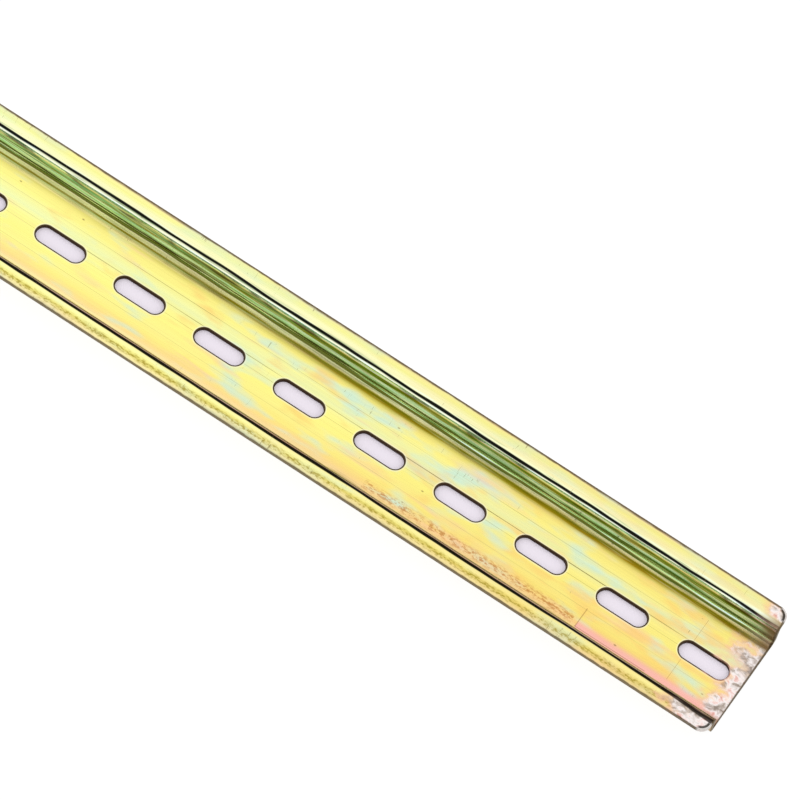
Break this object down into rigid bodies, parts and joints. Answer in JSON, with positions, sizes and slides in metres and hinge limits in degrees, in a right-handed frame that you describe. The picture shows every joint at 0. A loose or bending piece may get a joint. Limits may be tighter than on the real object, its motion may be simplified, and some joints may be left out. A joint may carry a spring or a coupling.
{
  "type": "din rail",
  "caption": "Slotted top-hat steel rail, 35 x 7.5 mm, half a metre long, yellow passivated zinc, for clip-on devices.",
  "frame": {"origin": "middle of the back face, halfway along the rail", "axes": "+X along the rail, +Y across it, +Z out of the back towards the open side and the lips"},
  "size_m": [0.5, 0.035, 0.0075],
  "materials": {
    "zinc_yellow_steel": "satin"
  },
  "bodies": {
    "root": {"rail": "zinc_yellow_steel"}
  },
  "joints": []
}
